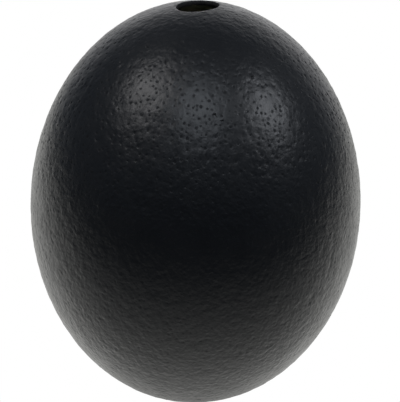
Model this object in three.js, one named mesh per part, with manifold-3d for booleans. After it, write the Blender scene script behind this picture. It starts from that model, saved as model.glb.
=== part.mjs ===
// A blown ostrich egg, painted black: one hollow shell that stands upright on a small flat spot
// and is open at the top, where the egg was emptied through a hand-cut hole.
// Millimetres, +Z up along the egg, origin at the centre of the flat spot.

import * as THREE from 'three';
import { mergeVertices } from 'three/addons/utils/BufferGeometryUtils.js';
import Module from 'manifold-3d';

const wasm = await Module();
wasm.setup();

// The egg, tip to tip before the flat spot is rubbed on it, and across its widest place.
const LENGTH = 155;
const WIDTH = 125;
const TAPER = 0.0075;       // share by which the top end is slimmer, and the bottom end fuller
const WALL = 1.9;           // shell thickness
const FLAT_DEPTH = 0.8;     // how much of the bottom tip the flat spot takes off

// The hole is a hand-cut oval, a little off the egg's axis.
const HOLE_LONG = 18;
const HOLE_SHORT = 14.6;
const HOLE_TURN = THREE.MathUtils.degToRad(50);
const HOLE_X = -1.1;
const HOLE_Y = -0.1;

// How finely the curved faces are cut.
const OUTER_SEGMENTS = 64;
const OUTER_ROWS = 30;
const INNER_SEGMENTS = 48;
const INNER_ROWS = 22;
const HOLE_SEGMENTS = 40;

const CENTRE_HEIGHT = LENGTH / 2 - FLAT_DEPTH;
const TIP_HEIGHT = LENGTH - FLAT_DEPTH;
const CUTTER_REACH = 12;    // the hole's cutter starts and ends this far from the tip

// A point of an egg's profile: angle 0 is the top tip and PI the bottom one.
function profilePoint(halfLength, halfWidth, angle) {
  const along = Math.cos(angle);
  const radius = halfWidth * Math.sin(angle) * (1 - TAPER * along);
  return new THREE.Vector2(Math.max(radius, 0), CENTRE_HEIGHT + halfLength * along);
}

// The profile from the angle `start`, near the bottom, up to the top tip, in `rows` equal steps.
function profile(halfLength, halfWidth, start, rows) {
  const points = [];
  for (let row = 0; row < rows; row += 1) {
    points.push(profilePoint(halfLength, halfWidth, start * (1 - row / rows)));
  }
  points.push(new THREE.Vector2(0, CENTRE_HEIGHT + halfLength));
  return points;
}

// A lathe turns its profile about Y, so the result is tipped up to stand along Z.
function turned(points, segments) {
  return new THREE.LatheGeometry(points, segments).rotateX(Math.PI / 2);
}

// The outside, closed underneath by the flat spot.
function outside() {
  const flatAngle = Math.acos(FLAT_DEPTH / (LENGTH / 2) - 1);
  const points = profile(LENGTH / 2, WIDTH / 2, flatAngle, OUTER_ROWS);
  return turned([new THREE.Vector2(0, 0), ...points], OUTER_SEGMENTS);
}

// The hollow that the white and yolk filled.
function hollow() {
  const halfLength = LENGTH / 2 - WALL;
  const points = profile(halfLength, WIDTH / 2 - WALL, Math.PI, INNER_ROWS);
  points[0].set(0, CENTRE_HEIGHT - halfLength);
  return turned(points, INNER_SEGMENTS);
}

// The upright cutter of the hole, which goes through the top of the shell only.
function holeCutter() {
  const oval = new THREE.Shape();
  oval.absellipse(HOLE_X, HOLE_Y, HOLE_LONG / 2, HOLE_SHORT / 2, 0, 2 * Math.PI, false, HOLE_TURN);
  const cutter = new THREE.ExtrudeGeometry(oval, {
    depth: 2 * CUTTER_REACH,
    bevelEnabled: false,
    curveSegments: HOLE_SEGMENTS,
  });
  return cutter.translate(0, 0, TIP_HEIGHT - CUTTER_REACH);
}

// A surface as a closed solid: corners are shared, and the triangles that collapse to nothing on
// the axis are left out.
function solid(geometry) {
  geometry.deleteAttribute('normal');
  geometry.deleteAttribute('uv');
  const merged = mergeVertices(geometry);
  const corners = merged.index.array;
  const triangles = [];
  for (let i = 0; i < corners.length; i += 3) {
    const [a, b, c] = corners.slice(i, i + 3);
    if (a !== b && b !== c && c !== a) {
      triangles.push(a, b, c);
    }
  }
  const mesh = new wasm.Mesh({
    numProp: 3,
    vertProperties: merged.attributes.position.array,
    triVerts: Uint32Array.from(triangles),
  });
  return new wasm.Manifold(mesh);
}

// A closed solid as a surface again, shaded smooth.
function geometryOf(result) {
  const mesh = result.getMesh();
  const geometry = new THREE.BufferGeometry();
  geometry.setAttribute('position', new THREE.BufferAttribute(mesh.vertProperties, 3));
  geometry.setIndex(new THREE.BufferAttribute(mesh.triVerts, 1));
  geometry.computeVertexNormals();
  return geometry;
}

function eggshell() {
  const shell = solid(outside()).subtract(solid(hollow())).subtract(solid(holeCutter()));
  const paint = new THREE.MeshStandardMaterial({ color: 0x17181b, roughness: 0.4, metalness: 0 });
  const mesh = new THREE.Mesh(geometryOf(shell), paint);
  mesh.name = 'eggshell';
  return mesh;
}

const egg = new THREE.Group();
egg.add(eggshell());

export default egg;
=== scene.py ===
"""A blown ostrich egg, painted satin black, standing on a white table in soft studio light.

The shell is one closed mesh from Geometry Nodes: a cell of shell around each of its thousands of
pores, the bare hollow inside, and the hand-cut hole at the top. Lengths are in metres, +Z is up,
and the viewer stands at -Y.
"""

import math

import bpy
from mathutils import Matrix, Vector


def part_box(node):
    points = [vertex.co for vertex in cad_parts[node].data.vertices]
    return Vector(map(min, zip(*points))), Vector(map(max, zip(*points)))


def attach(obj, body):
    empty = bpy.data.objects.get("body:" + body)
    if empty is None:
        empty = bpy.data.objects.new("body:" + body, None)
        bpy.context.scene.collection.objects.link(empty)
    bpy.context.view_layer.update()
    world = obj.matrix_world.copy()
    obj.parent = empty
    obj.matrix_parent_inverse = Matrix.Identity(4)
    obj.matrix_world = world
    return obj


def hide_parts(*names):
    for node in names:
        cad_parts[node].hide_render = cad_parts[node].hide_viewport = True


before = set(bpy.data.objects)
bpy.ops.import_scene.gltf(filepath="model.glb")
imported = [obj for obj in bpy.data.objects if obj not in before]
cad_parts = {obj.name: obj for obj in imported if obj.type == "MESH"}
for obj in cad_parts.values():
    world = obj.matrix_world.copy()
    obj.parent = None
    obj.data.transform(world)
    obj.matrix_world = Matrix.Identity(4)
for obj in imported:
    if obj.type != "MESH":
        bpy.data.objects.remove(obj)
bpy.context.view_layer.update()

SHELL_LOW, SHELL_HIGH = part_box("eggshell")

MM = 0.001
SQUARE_CM = 0.0001

# The egg, as its solid has it.
WIDTH = SHELL_HIGH[0] - SHELL_LOW[0]
LENGTH = 155 * MM           # tip to tip, before the flat spot and the hole
FLAT_DEPTH = 0.8 * MM       # what the flat spot takes off the bottom tip
TAPER = 0.0075              # share by which the top end is slimmer, and the bottom end fuller
WALL = 1.9 * MM
CENTRE_HEIGHT = LENGTH / 2 - FLAT_DEPTH

# How many facets around, and from tip to tip, the two smooth eggs have.
SCATTER_FACETS = (96, 48)   # the one that the pores are scattered on
HOLLOW_FACETS = (72, 48)    # the one that cuts the hollow
SAME_PLACE = 0.01 * MM      # points of the skin closer than this are made one

# The hole at the top, a hand-cut oval a little off the axis.
HOLE_LONG = 18 * MM
HOLE_SHORT = 14.6 * MM
HOLE_TURN = math.radians(50)
HOLE_X = -1.1 * MM
HOLE_Y = -0.1 * MM
HOLE_WEAR = 0.45 * MM       # radius that handling has worn on the hole's outer edge
HOLE_JAG = 0.2 * MM         # how far the cut strays from a true oval
JAG_LENGTH = 0.45           # how long each stray is, as a share of the hole's radius

# The post that cuts the hole. It starts inside the hollow and ends above the egg.
CUTTER_SIDES = 90
CUTTER_ROWS = 8
CUTTER_DOWN = 12 * MM
CUTTER_UP = 4 * MM

# Where the finishes inside the painted skin start, as shares of the wall.
CUT_EDGE_STARTS = 0.4
BARE_SHELL_STARTS = 0.95

# The skin: each pore is a round pit, and soft ripples run over them all.
PORE_GAP = 1.55 * MM        # no two pores are closer than this
PORE_DENSITY = 22           # pores tried for each square centimetre, before the gap thins them
PORE_RADIUS = 0.72 * MM
PORE_SIZES = (0.6, 1.2)     # the narrowest and the widest pore, as shares of that radius
PORE_ROOM = 0.7             # how much of its own cell a pore may fill
PORE_DEPTH = 0.14 * MM
PORE_STRENGTHS = (0.4, 1.0)     # the faintest and the clearest pore, as shares of that depth
RIPPLE = 0.31 * MM
RIPPLE_LENGTH = 2.6 * MM
SEED = 7

# How thick the paint lies, by height. Thick paint fills part of each pore.
FILLED_BELOW = 85 * MM      # it is thick below here
OPEN_ABOVE = 116 * MM       # thin from here
OPEN_BELOW = 137 * MM       # up to here
FILLED_ABOVE = 147 * MM     # and thick again around the hole
LEFT_OPEN = 0.42            # how much of a filled pore still shows

# The relief that is too fine for the mesh.
PIT_DEPTH = 0.052 * MM
PIT_FLOOR = 0.3             # how much of a pit's radius is its flat floor
FINE_RIPPLE = 0.12 * MM     # where the paint is thin
PAINT_WRINKLE = 0.21 * MM   # where it is thick
GATHERED_WRINKLE = 0.32 * MM    # and where it ran down the egg and gathered
GATHERED_BELOW = 25 * MM    # it gathered most below here
RUN_DRY_ABOVE = 65 * MM     # and not at all above here
FINE_RIPPLE_LENGTH = 1.6 * MM
GRAIN = 0.004 * MM
GRAIN_LENGTH = 0.35 * MM
GRIT = 0.05 * MM            # on the cut edge and the bare shell

# The finishes.
BLACK = (0.0035, 0.0038, 0.0045, 1.0)
PAINT_IOR = 1.5
SHEEN = (0.34, 0.40)        # the paint's roughness, in its glossiest and its dullest patches
SHEEN_LENGTH = 9 * MM
PIT_ROUGHNESS = 0.6         # the roughness at the bottom of the clearest pore
PIT_SHADE = 0.4             # painted shade in the pores: the share of its gloss that a clear pore loses, in place of the shade down inside it
SHADED_PITS = (0.15, 0.6)   # how clear a pore is when its painted shade starts, and when it is full
CUT_EDGE_TONES = ((0.055, 0.053, 0.05, 1.0), (0.028, 0.027, 0.025, 1.0))
BARE_SHELL_TONES = ((0.86, 0.86, 0.74, 1.0), (0.84, 0.81, 0.62, 1.0))

# The white table. Its glow, though it is no lamp, sends the egg a painted pool of light drawn out
# behind the egg.
TABLE_REACH = 4.0
POOL_RADIUS = 0.194         # straight to the egg's sides, to the middle of the pool's soft edge
POOL_WAY = (-0.033, 0.999, 0.0)
POOL_STRETCH = (1.02, 2.82)     # logarithm of how much shorter it is in front, and longer behind
POOL_FADE = 1.33            # logarithm of how far its edge fades, inwards and outwards
POOL_BRIGHT = (1.24, 1.24, 1.2, 1.0)
POOL_DIM = (0.045, 0.053, 0.068, 1.0)
CONTACT_SHADE = 0.58        # the share of the table's glow that the painted shadow under the egg leaves
CONTACT_NEAR = 15 * MM      # the shade is full up to here from the egg's foot
CONTACT_FAR = 45 * MM       # and gone from here
WHITE = (1.0, 1.0, 1.0, 1.0)

# The room around. An edge is the cosine of the angle out from the middle of the backdrop, or
# from straight up.
BACKDROP_WAY = (0.094, 0.995, -0.035)
BACKDROP_EDGE = 0.58
BACKDROP_FULL = 1.574       # past any cosine, so the backdrop brightens right up to its middle
BACKDROP_BRIGHT = 3.3       # what it would reach there; its middle comes to about 1.3
CEILING_EDGE = 0.5
CEILING_BRIGHT = 0.037
WARM = (1.02, 1.0, 0.99)    # the tint of the backdrop and the ceiling
COOL = (0.83, 1.0, 1.26)    # the tint of the room itself
ROOM_BRIGHT = 0.119
ROOM_DARK = 0.006           # at its darkest place, towards the viewer
DARK_DROP = 0.164           # how far below level that place is, as the sine of the angle
DARK_EDGE = 0.4             # how much a way leans to that place where it starts to darken

# The lights and the camera.
LIGHT_DISTANCE = 2.5
CAMERA_DISTANCE = 1.4
CAMERA_LIFT = math.radians(17.6)
CAMERA_ROLL = math.radians(1.516)
CAMERA_LENS = 331.4         # in millimetres, as the width of its sensor is
SENSOR_WIDTH = 36
AIM_RIGHT = 1.665 * MM      # the middle of the picture, measured from the egg's centre
AIM_UP = 0.494 * MM


class Tree:
    """Writes a node tree: each call adds a node, feeds its inputs and gives an output back."""

    def __init__(self, tree):
        self.tree = tree

    def feed(self, socket, value):
        """Link an output into a socket, or set the socket's own value."""
        if isinstance(value, bpy.types.NodeSocket):
            self.tree.links.new(value, socket)
        else:
            socket.default_value = value

    def add(self, kind, inputs=None, **settings):
        """Add a node, with its inputs given by name; gives the node."""
        node = self.tree.nodes.new(kind)
        for name, value in settings.items():
            setattr(node, name, value)
        for name, value in (inputs or {}).items():
            socket = next(s for s in node.inputs if s.enabled and s.name == name)
            self.feed(socket, value)
        return node

    def math(self, operation, *values):
        """One Math node."""
        node = self.add("ShaderNodeMath", operation=operation)
        for socket, value in zip(node.inputs, values):
            self.feed(socket, value)
        return node.outputs[0]

    def total(self, first, *others):
        """The sum of several numbers."""
        for other in others:
            first = self.math("ADD", first, other)
        return first

    def vector(self, operation, *values):
        """One Vector Math node that gives a vector."""
        node = self.add("ShaderNodeVectorMath", operation=operation)
        for socket, value in zip(node.inputs, values):
            self.feed(socket, value)
        return node.outputs["Vector"]

    def scaled(self, vector, scale):
        """A vector times a number."""
        inputs = {"Vector": vector, "Scale": scale}
        return self.add("ShaderNodeVectorMath", inputs, operation="SCALE").outputs["Vector"]

    def length(self, vector):
        """The length of a vector."""
        inputs = {"Vector": vector}
        return self.add("ShaderNodeVectorMath", inputs, operation="LENGTH").outputs["Value"]

    def dot(self, vector, way):
        """How far a vector reaches along a fixed way."""
        node = self.add("ShaderNodeVectorMath", operation="DOT_PRODUCT")
        self.feed(node.inputs[0], vector)
        self.feed(node.inputs[1], way)
        return node.outputs["Value"]

    def combine(self, x, y, z):
        """A vector from its three parts."""
        return self.add("ShaderNodeCombineXYZ", {"X": x, "Y": y, "Z": z}).outputs[0]

    def separate(self, vector):
        """The three parts of a vector."""
        return self.add("ShaderNodeSeparateXYZ", {"Vector": vector}).outputs

    def mix(self, share, first, second, data_type="FLOAT"):
        """A number or a colour between two others."""
        inputs = {"Factor": share, "A": first, "B": second}
        return self.add("ShaderNodeMix", inputs, data_type=data_type).outputs["Result"]

    def ramp(self, value, from_low, from_high, to_low, to_high, kind="LINEAR"):
        """A value carried from one range to another."""
        inputs = {"Value": value, "From Min": from_low, "From Max": from_high}
        inputs.update({"To Min": to_low, "To Max": to_high})
        return self.add("ShaderNodeMapRange", inputs, interpolation_type=kind).outputs["Result"]

    def eased(self, value, from_low, from_high, to_low, to_high):
        """A ramp that starts and ends gently."""
        return self.ramp(value, from_low, from_high, to_low, to_high, "SMOOTHSTEP")

    def band(self, value, low, clear_low, clear_high, high):
        """1 between the two clear limits, fading to 0 at the low and the high one."""
        rise = self.eased(value, low, clear_low, 0.0, 1.0)
        fall = self.eased(value, clear_high, high, 1.0, 0.0)
        return self.math("MULTIPLY", rise, fall)

    def noise(self, place, length, detail):
        """Soft noise from 0 to 1, whose swells are about `length` apart."""
        scale = self.math("DIVIDE", 1.0, length)
        inputs = {"Vector": place, "Scale": scale, "Detail": detail}
        return self.add("ShaderNodeTexNoise", inputs).outputs["Fac"]

    def patches(self, place, length, detail, spread, between=(0.0, 1.0)):
        """Noise whose middle, up to `spread` to each side of it, is stretched over a range."""
        return self.ramp(self.noise(place, length, detail), 0.5 - spread, 0.5 + spread, *between)

    def bump(self, relief):
        """The way out of a surface that has a relief, in metres, laid on it."""
        inputs = {"Strength": 1.0, "Distance": 1.0, "Height": relief}
        return self.add("ShaderNodeBump", inputs).outputs[0]


class ShellTree(Tree):
    """Writes the eggshell's tree, from the pores' places to the finished shell."""

    def __init__(self, tree, given):
        super().__init__(tree)
        self.given = given
        self.surface = egg_surface_group()
        self.here = self.add("GeometryNodeInputPosition").outputs[0]

    def egg(self, point, inset=0.0):
        """The point's place on the egg, or on the egg set inwards, and the way out from there."""
        node = self.add("GeometryNodeGroup", node_tree=self.surface)
        for name in ("Length", "Width", "Taper", "Centre Height"):
            self.feed(node.inputs[name], self.given[name])
        self.feed(node.inputs["Point"], point)
        self.feed(node.inputs["Inset"], inset)
        return node.outputs

    def stored(self, name, data_type="FLOAT"):
        """An attribute that was stored on the mesh earlier."""
        node = self.add("GeometryNodeInputNamedAttribute", {"Name": name}, data_type=data_type)
        return node.outputs["Attribute"]

    def store(self, geometry, name, value, domain="POINT", data_type="FLOAT", selection=True):
        """Store an attribute on the mesh."""
        inputs = {"Geometry": geometry, "Selection": selection, "Name": name, "Value": value}
        kind = "GeometryNodeStoreNamedAttribute"
        return self.add(kind, inputs, domain=domain, data_type=data_type).outputs[0]

    def chance(self, low, high, salt):
        """A random number for each face; a salt of its own gives each number its own draw."""
        inputs = {"Min": low, "Max": high, "Seed": self.math("ADD", self.given["Seed"], salt)}
        node = self.add("FunctionNodeRandomValue", inputs, data_type="FLOAT")
        return next(s for s in node.outputs if s.enabled)

    def move(self, geometry, position, selection=True):
        """Put the points of a geometry at new places."""
        inputs = {"Geometry": geometry, "Selection": selection, "Position": position}
        return self.add("GeometryNodeSetPosition", inputs).outputs[0]

    def smooth_egg(self, facets, inset=0.0):
        """An egg without pores or flat spot, or one set inwards from it."""
        around, along = facets
        inputs = {"Segments": around, "Rings": along, "Radius": self.given["Length"]}
        sphere = self.add("GeometryNodeMeshUVSphere", inputs).outputs["Mesh"]
        lift = self.combine(0.0, 0.0, self.given["Centre Height"])
        lifted = self.vector("ADD", self.here, lift)
        return self.move(sphere, self.egg(lifted, inset)["Position"])

    def pore_strength(self):
        """How clear each pore is: by chance, and fainter where the paint is thick."""
        height = self.separate(self.here)["Z"]
        limits = ("Filled Below", "Open Above", "Open Below", "Filled Above")
        thin_paint = self.band(height, *(self.given[name] for name in limits))
        openness = self.ramp(thin_paint, 0.0, 1.0, self.given["Left Open"], 1.0)
        return self.math("MULTIPLY", self.chance(*PORE_STRENGTHS, salt=1), openness)

    def cells(self):
        """The outside as one many-sided cell of shell around each pore."""
        scatter = self.add("GeometryNodeDistributePointsOnFaces", {
            "Mesh": self.smooth_egg(SCATTER_FACETS),
            "Distance Min": self.given["Pore Gap"],
            "Density Max": self.given["Pore Density"],
            "Seed": self.given["Seed"],
        }, distribute_method="POISSON").outputs["Points"]
        pores = self.move(scatter, self.egg(self.here)["Position"])
        hull = self.add("GeometryNodeConvexHull", {"Geometry": pores}).outputs[0]
        hull = self.store(hull, "pore_place", self.here, data_type="FLOAT_VECTOR")
        cells = self.add("GeometryNodeDualMesh", {"Mesh": hull}).outputs[0]
        cells = self.move(cells, self.egg(self.here)["Position"])
        size = self.chance(*PORE_SIZES, salt=0)
        cells = self.store(cells, "pore_size", size, domain="FACE")
        return self.store(cells, "pore_strength", self.pore_strength(), domain="FACE")

    def drawn_in(self, mesh, target, selection=True):
        """Draws each face in to a smaller one of its own, ringed by new faces."""
        inputs = {"Mesh": mesh, "Selection": selection, "Offset Scale": 0.0, "Individual": True}
        ring = self.add("GeometryNodeExtrudeMesh", inputs)
        return self.move(ring.outputs["Mesh"], target, ring.outputs["Top"]), ring.outputs["Top"]

    def pitted(self, cells):
        """Adds the pores, and stores how deep each point of the skin is to sink."""
        place = self.stored("pore_place", "FLOAT_VECTOR")
        outwards = self.vector("SUBTRACT", self.here, place)
        wished = self.math("MULTIPLY", self.given["Pore Radius"], self.stored("pore_size"))
        room = self.math("MULTIPLY", self.length(outwards), PORE_ROOM)
        spoke = self.scaled(self.vector("NORMALIZE", outwards), self.math("MINIMUM", wished, room))
        on_rim = self.egg(self.vector("ADD", place, spoke))["Position"]
        skin, rim = self.drawn_in(cells, on_rim)
        skin, floor = self.drawn_in(skin, self.egg(place)["Position"], rim)
        pit = self.math("MULTIPLY", self.given["Pore Depth"], self.stored("pore_strength"))
        skin = self.store(skin, "sink", pit, selection=floor)
        skin = self.store(skin, "from_pore", outwards, "CORNER", "FLOAT_VECTOR")
        inputs = {"Geometry": skin, "Distance": SAME_PLACE}
        return self.add("GeometryNodeMergeByDistance", inputs).outputs[0]

    def sunk(self, skin):
        """Sinks the pores and the soft ripples into the skin."""
        ripple = self.noise(self.here, self.given["Ripple Length"], detail=0.0)
        swell = self.math("MULTIPLY", self.given["Ripple"], ripple)
        depth = self.math("ADD", self.stored("sink"), swell)
        inwards = self.scaled(self.egg(self.here)["Normal"], depth)
        return self.move(skin, self.vector("SUBTRACT", self.here, inwards))

    def stood_flat(self, skin):
        """Rubs the flat spot on the bottom tip."""
        place = self.separate(self.here)
        height = self.math("MAXIMUM", place["Z"], 0.0)
        return self.move(skin, self.combine(place["X"], place["Y"], height))

    def worn_edge(self, row):
        """How high over the smooth egg each row of the hole's cutter lies, and how far it flares."""
        last = CUTTER_ROWS - 1.0
        bend = self.ramp(row, 1.0, last, 0.0, math.pi / 2)
        below = self.math("SUBTRACT", 1.0, self.math("SINE", bend))
        beside = self.math("SUBTRACT", 1.0, self.math("COSINE", bend))
        start = self.ramp(row, 0.0, 1.0, -CUTTER_DOWN, 0.0)
        end = self.ramp(row, last, CUTTER_ROWS, 0.0, CUTTER_UP)
        wear = self.given["Hole Wear"]
        height = self.math("SUBTRACT", self.total(start, end), self.math("MULTIPLY", wear, below))
        return height, self.math("MULTIPLY", wear, beside)

    def hole_cutter(self):
        """An upright post of the hole's shape, which flares over the worn edge near its top."""
        post = self.add("GeometryNodeMeshCylinder", {
            "Vertices": CUTTER_SIDES, "Side Segments": CUTTER_ROWS, "Radius": 1.0, "Depth": 1.0,
        }, fill_type="NGON").outputs["Mesh"]
        place = self.separate(self.here)
        row = self.math("MULTIPLY", self.math("ADD", place["Z"], 0.5), CUTTER_ROWS)
        height, flare = self.worn_edge(row)

        rim_way = self.combine(place["X"], place["Y"], 0.0)
        stray = self.patches(rim_way, JAG_LENGTH, detail=3.0, spread=0.2, between=(-1.0, 1.0))
        widen = self.math("ADD", self.math("MULTIPLY", self.given["Hole Jag"], stray), flare)
        reach = [
            self.total(self.math("MULTIPLY", self.given[name], 0.5), widen)
            for name in ("Hole Long", "Hole Short")
        ]
        oval = self.vector("MULTIPLY", rim_way, self.combine(*reach, 0.0))
        turn = self.add("ShaderNodeVectorRotate", {"Vector": oval, "Angle": self.given["Hole Turn"]})
        offset = self.combine(self.given["Hole X"], self.given["Hole Y"], self.given["Length"])
        over = self.vector("ADD", turn.outputs[0], offset)
        aside = self.separate(over)
        surface = self.separate(self.egg(over)["Position"])
        level = self.math("ADD", surface["Z"], height)
        return self.move(post, self.combine(aside["X"], aside["Y"], level))

    def hollowed(self, skin):
        """Cuts the hollow and the hole out of the egg."""
        inputs = {"Mesh 1": skin}
        settings = {"operation": "DIFFERENCE", "solver": "MANIFOLD"}
        cut = self.add("GeometryNodeMeshBoolean", inputs, **settings)
        hollow = self.smooth_egg(HOLLOW_FACETS, self.given["Wall"])
        for tool in (hollow, self.hole_cutter()):
            self.tree.links.new(tool, cut.inputs["Mesh 2"])
        inputs = {"Geometry": cut.outputs["Mesh"], "Shade Smooth": True}
        return self.add("GeometryNodeSetShadeSmooth", inputs).outputs[0]

    def finished(self, shell):
        """Real faces, painted all over, then given the finishes that start deeper in the wall."""
        whole = self.add("GeometryNodeRealizeInstances", {"Geometry": shell}).outputs[0]
        depth = self.length(self.vector("SUBTRACT", self.egg(self.here)["Position"], self.here))
        starts = {"Paint": -1.0, "Cut Edge": CUT_EDGE_STARTS, "Bare Shell": BARE_SHELL_STARTS}
        for finish, share in starts.items():
            start = self.math("MULTIPLY", self.given["Wall"], share)
            beyond = self.math("GREATER_THAN", depth, start)
            inputs = {"Geometry": whole, "Selection": beyond, "Material": self.given[finish]}
            whole = self.add("GeometryNodeSetMaterial", inputs).outputs[0]
        return whole


def new_group(name, inputs, outputs):
    """An empty node group with named sockets."""
    group = bpy.data.node_groups.new(name, "GeometryNodeTree")
    for label, kind in inputs.items():
        group.interface.new_socket(name=label, in_out="INPUT", socket_type="NodeSocket" + kind)
    for label, kind in outputs.items():
        group.interface.new_socket(name=label, in_out="OUTPUT", socket_type="NodeSocket" + kind)
    return group


def egg_surface_group():
    """Carries a point out from the egg's centre to its surface, or to that surface set inwards."""
    group = new_group("Egg surface", {
        "Point": "Vector", "Inset": "Float", "Length": "Float",
        "Width": "Float", "Taper": "Float", "Centre Height": "Float",
    }, {"Position": "Vector", "Normal": "Vector"})
    t = Tree(group)
    given = t.add("NodeGroupInput").outputs
    half_width = t.math("SUBTRACT", t.math("MULTIPLY", given["Width"], 0.5), given["Inset"])
    half_length = t.math("SUBTRACT", t.math("MULTIPLY", given["Length"], 0.5), given["Inset"])
    radii = t.combine(half_width, half_width, half_length)
    centre = t.combine(0.0, 0.0, given["Centre Height"])
    outwards = t.vector("DIVIDE", t.vector("SUBTRACT", given["Point"], centre), radii)
    direction = t.vector("NORMALIZE", outwards)
    along = t.separate(direction)["Z"]
    swell = t.math("SUBTRACT", 1.0, t.math("MULTIPLY", given["Taper"], along))
    shape = t.vector("MULTIPLY", direction, radii)
    tapered = t.vector("MULTIPLY", shape, t.combine(swell, swell, 1.0))
    t.add("NodeGroupOutput", {
        "Position": t.vector("ADD", tapered, centre),
        "Normal": t.vector("NORMALIZE", t.vector("DIVIDE", direction, radii)),
    })
    return group


def eggshell_group(inputs):
    """The whole shell: pored outside, bare hollow and worn hole."""
    group = new_group("Eggshell", inputs, {"Shell": "Geometry"})
    group.is_modifier = True
    given = group.nodes.new("NodeGroupInput").outputs
    t = ShellTree(group, given)
    skin = t.stood_flat(t.sunk(t.pitted(t.cells())))
    t.add("NodeGroupOutput", {"Shell": t.finished(t.hollowed(skin))})
    return group


def eggshell():
    """The shell as a plain mesh, in place of its smooth solid."""
    sizes = {
        "Length": LENGTH, "Width": WIDTH, "Taper": TAPER, "Centre Height": CENTRE_HEIGHT,
        "Wall": WALL, "Hole Long": HOLE_LONG, "Hole Short": HOLE_SHORT, "Hole Turn": HOLE_TURN,
        "Hole X": HOLE_X, "Hole Y": HOLE_Y, "Hole Wear": HOLE_WEAR, "Hole Jag": HOLE_JAG,
        "Pore Gap": PORE_GAP, "Pore Density": PORE_DENSITY / SQUARE_CM,
        "Pore Radius": PORE_RADIUS, "Pore Depth": PORE_DEPTH,
        "Filled Below": FILLED_BELOW, "Open Above": OPEN_ABOVE,
        "Open Below": OPEN_BELOW, "Filled Above": FILLED_ABOVE, "Left Open": LEFT_OPEN,
        "Ripple": RIPPLE, "Ripple Length": RIPPLE_LENGTH,
    }
    finishes = {"Paint": satin_black_paint(), "Cut Edge": dull_cut_edge(), "Bare Shell": bare_shell()}
    kinds = {**dict.fromkeys(sizes, "Float"), "Seed": "Int", **dict.fromkeys(finishes, "Material")}
    values = {**sizes, "Seed": SEED, **finishes}
    group = eggshell_group(kinds)
    piece = bpy.data.objects.new("pored_eggshell", bpy.data.meshes.new("pored_eggshell"))
    bpy.context.scene.collection.objects.link(piece)
    nodes = piece.modifiers.new("Eggshell", "NODES")
    nodes.node_group = group
    for socket in group.interface.items_tree:
        if socket.in_out == "INPUT":
            nodes[socket.identifier] = values[socket.name]
    evaluated = piece.evaluated_get(bpy.context.evaluated_depsgraph_get())
    plain = bpy.data.meshes.new_from_object(evaluated)
    plain.materials.pop(index=0)    # an empty slot, which the boolean cut puts first
    piece.modifiers.clear()
    piece.data = plain
    return piece


def new_material(name):
    """A material with an empty tree, and its writer."""
    material = bpy.data.materials.new(name)
    material.use_nodes = True
    material.node_tree.nodes.clear()
    return material, Tree(material.node_tree)


def paint_relief(t, here, pit):
    """The pits, the fine ripple by how thick the paint is, and the grain, in metres."""
    height = t.separate(here)["Z"]
    thin_paint = t.band(height, FILLED_BELOW, OPEN_ABOVE, OPEN_BELOW, FILLED_ABOVE)
    gathered = t.eased(height, GATHERED_BELOW, RUN_DRY_ABOVE, 1.0, 0.0)
    wrinkle = t.ramp(gathered, 0.0, 1.0, PAINT_WRINKLE, GATHERED_WRINKLE)
    fine_depth = t.ramp(thin_paint, 0.0, 1.0, wrinkle, FINE_RIPPLE)
    return t.total(
        t.math("MULTIPLY", pit, -PIT_DEPTH),
        t.math("MULTIPLY", t.noise(here, FINE_RIPPLE_LENGTH, detail=1.5), fine_depth),
        t.math("MULTIPLY", t.noise(here, GRAIN_LENGTH, detail=2.0), GRAIN),
    )


def satin_black_paint():
    """Satin black paint: almost no colour of its own, and a soft gloss that painted shade takes out
    of the pores.
    """
    material, t = new_material("satin_black_paint")
    here = t.add("ShaderNodeTexCoord").outputs["Object"]
    from_pore = t.add("ShaderNodeAttribute", attribute_name="from_pore").outputs["Vector"]
    size = t.add("ShaderNodeAttribute", attribute_name="pore_size").outputs["Fac"]
    strength = t.add("ShaderNodeAttribute", attribute_name="pore_strength").outputs["Fac"]
    away = t.math("DIVIDE", t.length(from_pore), t.math("MULTIPLY", size, PORE_RADIUS))
    pit = t.math("MULTIPLY", strength, t.eased(away, PIT_FLOOR, 1.0, 1.0, 0.0))
    sheen = t.patches(here, SHEEN_LENGTH, detail=3.0, spread=0.2, between=SHEEN)
    # Painted shade in the pores: a black metal gives almost no light back, so a share of it takes
    # that share of the gloss, in place of the shade down inside each pore.
    painted_pore_shade = t.ramp(pit, *SHADED_PITS, 0.0, PIT_SHADE)
    shader = t.add("ShaderNodeBsdfPrincipled", {
        "Base Color": BLACK,
        "Roughness": t.mix(pit, sheen, PIT_ROUGHNESS),
        "Metallic": painted_pore_shade,
        "IOR": PAINT_IOR,
        "Normal": t.bump(paint_relief(t, here, pit)),
    })
    t.add("ShaderNodeOutputMaterial", {"Surface": shader.outputs[0]})
    return material


def gritty_material(name, tones, tone_length, tone_detail, grit_length, roughness):
    """A matt material in patches of two tones, with a fine grit on it."""
    material, t = new_material(name)
    here = t.add("ShaderNodeTexCoord").outputs["Object"]
    patches = t.patches(here, tone_length, tone_detail, spread=0.15)
    grit = t.math("MULTIPLY", t.noise(here, grit_length, detail=3.0), GRIT)
    shader = t.add("ShaderNodeBsdfPrincipled", {
        "Base Color": t.mix(patches, *tones, "RGBA"),
        "Roughness": roughness,
        "Normal": t.bump(grit),
    })
    t.add("ShaderNodeOutputMaterial", {"Surface": shader.outputs[0]})
    return material


def dull_cut_edge():
    """The cut wall of the hole: paint that the raw shell has soaked up, grey and dull."""
    return gritty_material(
        "dull_cut_edge", CUT_EDGE_TONES, tone_length=1.2 * MM, tone_detail=3.0,
        grit_length=0.4 * MM, roughness=0.6,
    )


def bare_shell():
    """The bare inside of the shell: chalky ivory, yellower where the membrane dried on."""
    return gritty_material(
        "bare_shell", BARE_SHELL_TONES, tone_length=12 * MM, tone_detail=4.0,
        grit_length=1.5 * MM, roughness=0.75,
    )


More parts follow.
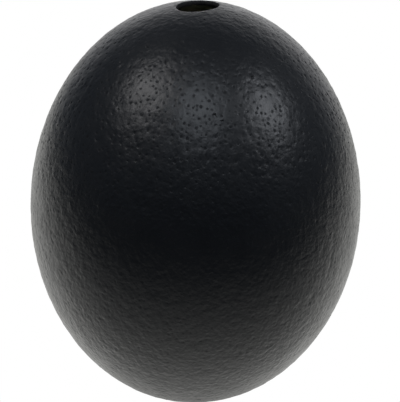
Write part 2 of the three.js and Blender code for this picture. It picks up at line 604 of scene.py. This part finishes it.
def soft_light(name, azimuth, elevation, half_width, half_height, brightness, tint):
    """An oval soft light that faces the egg; its half sizes are shares of its distance."""
    turn = math.radians(azimuth)
    lift = math.radians(elevation)
    way = Vector((math.sin(turn) * math.cos(lift), -math.cos(turn) * math.cos(lift), math.sin(lift)))
    lamp = bpy.data.lights.new(name, "AREA")
    lamp.shape = "ELLIPSE"
    lamp.size = 2 * half_width * LIGHT_DISTANCE
    lamp.size_y = 2 * half_height * LIGHT_DISTANCE
    lamp.energy = math.pi * lamp.size * lamp.size_y * brightness
    lamp.color = tint
    holder = bpy.data.objects.new(name, lamp)
    holder.location = Vector((0, 0, CENTRE_HEIGHT)) + way * LIGHT_DISTANCE
    holder.rotation_euler = way.to_track_quat("Z", "Y").to_euler()
    bpy.context.scene.collection.objects.link(holder)


def three_soft_lights():
    """The lights whose highlights lie side by side on the egg's shoulder."""
    soft_light(
        "left_light", azimuth=-67.1, elevation=52.4, half_width=0.20, half_height=0.19,
        brightness=4.4, tint=(1.01, 1.0, 1.01),
    )
    soft_light(
        "middle_light", azimuth=2.8, elevation=53.8, half_width=0.25, half_height=0.24,
        brightness=2.15, tint=(0.93, 1.0, 1.09),
    )
    soft_light(
        "right_light", azimuth=73.4, elevation=40.0, half_width=0.20, half_height=0.18,
        brightness=4.6, tint=(0.96, 1.0, 1.07),
    )


def pool_of_light(t, here):
    """The table's painted light on the egg: how bright it is, with a painted shadow under the egg,
    and its colour.
    """
    away = t.length(here)
    behind = t.math("DIVIDE", t.dot(here, POOL_WAY), away)
    stretch = t.math("MULTIPLY", behind, t.ramp(behind, -1.0, 1.0, *POOL_STRETCH))
    steps_out = t.math("LOGARITHM", t.math("DIVIDE", away, POOL_RADIUS), math.e)
    # The painted pool of light, bright near the egg and fading out.
    lit = t.eased(t.math("SUBTRACT", steps_out, stretch), -POOL_FADE, POOL_FADE, 1.0, 0.0)
    # A painted shadow where the egg stands: the glow is dimmed near its foot.
    shade = t.eased(away, CONTACT_NEAR, CONTACT_FAR, CONTACT_SHADE, 1.0)
    return shade, t.mix(lit, POOL_DIM, POOL_BRIGHT, "RGBA")


def white_table():
    """A table that is plain white to the viewer, and a glowing painted pool of light to the egg."""
    reach = TABLE_REACH
    mesh = bpy.data.meshes.new("table")
    corners = [(-reach, -reach, 0), (reach, -reach, 0), (reach, reach, 0), (-reach, reach, 0)]
    mesh.from_pydata(corners, [], [(0, 1, 2, 3)])
    table = bpy.data.objects.new("table", mesh)
    bpy.context.scene.collection.objects.link(table)

    material, t = new_material("white_table")
    shade, light = pool_of_light(t, t.add("ShaderNodeTexCoord").outputs["Object"])
    seen = t.add("ShaderNodeLightPath").outputs["Is Camera Ray"]
    shader = t.add("ShaderNodeEmission", {
        "Color": t.mix(seen, light, WHITE, "RGBA"),
        "Strength": t.mix(seen, shade, 1.0),
    })
    t.add("ShaderNodeOutputMaterial", {"Surface": shader.outputs[0]})
    mesh.materials.append(material)


def surroundings():
    """A dim room with a pale backdrop behind the egg, and plain white where it is seen itself."""
    world = bpy.data.worlds.new("studio")
    world.use_nodes = True
    world.node_tree.nodes.clear()
    t = Tree(world.node_tree)
    direction = t.add("ShaderNodeTexCoord").outputs["Generated"]
    way = t.separate(direction)
    behind = t.dot(direction, BACKDROP_WAY)
    backdrop = t.eased(behind, BACKDROP_EDGE, BACKDROP_FULL, 0.0, BACKDROP_BRIGHT)
    ceiling = t.eased(way["Z"], CEILING_EDGE, 1.0, 0.0, CEILING_BRIGHT)
    off_level = t.math("ABSOLUTE", t.math("ADD", way["Z"], DARK_DROP))
    lean = t.math("SUBTRACT", t.math("MULTIPLY", way["Y"], -1.0), off_level)
    room = t.eased(lean, DARK_EDGE, 1.0, ROOM_BRIGHT, ROOM_DARK)
    light = t.vector("ADD", t.scaled(COOL, room), t.scaled(WARM, t.total(backdrop, ceiling)))
    seen = t.add("ShaderNodeLightPath").outputs["Is Camera Ray"]
    colour = t.mix(seen, light, WHITE, "RGBA")
    shader = t.add("ShaderNodeBackground", {"Color": colour, "Strength": 1.0})
    t.add("ShaderNodeOutputWorld", {"Surface": shader.outputs[0]})
    bpy.context.scene.world = world


def camera():
    """The viewer's place, a little above the egg and with the head a touch on one side."""
    lens = bpy.data.cameras.new("camera")
    lens.sensor_width = SENSOR_WIDTH
    lens.lens = CAMERA_LENS
    holder = bpy.data.objects.new("camera", lens)
    way = Vector((0, -math.cos(CAMERA_LIFT), math.sin(CAMERA_LIFT)))
    level = way.to_track_quat("Z", "Y").to_matrix()
    turn = level @ Matrix.Rotation(CAMERA_ROLL, 3, "Z")
    right, up = turn.col[0], turn.col[1]
    aim = Vector((0, 0, CENTRE_HEIGHT)) + right * AIM_RIGHT + up * AIM_UP
    holder.matrix_world = Matrix.Translation(aim + way * CAMERA_DISTANCE) @ turn.to_4x4()
    bpy.context.scene.collection.objects.link(holder)
    bpy.context.scene.camera = holder


shell = eggshell()
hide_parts("eggshell")
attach(shell, "root")

three_soft_lights()
white_table()
surroundings()
camera()
bpy.context.scene.view_settings.view_transform = "Standard"
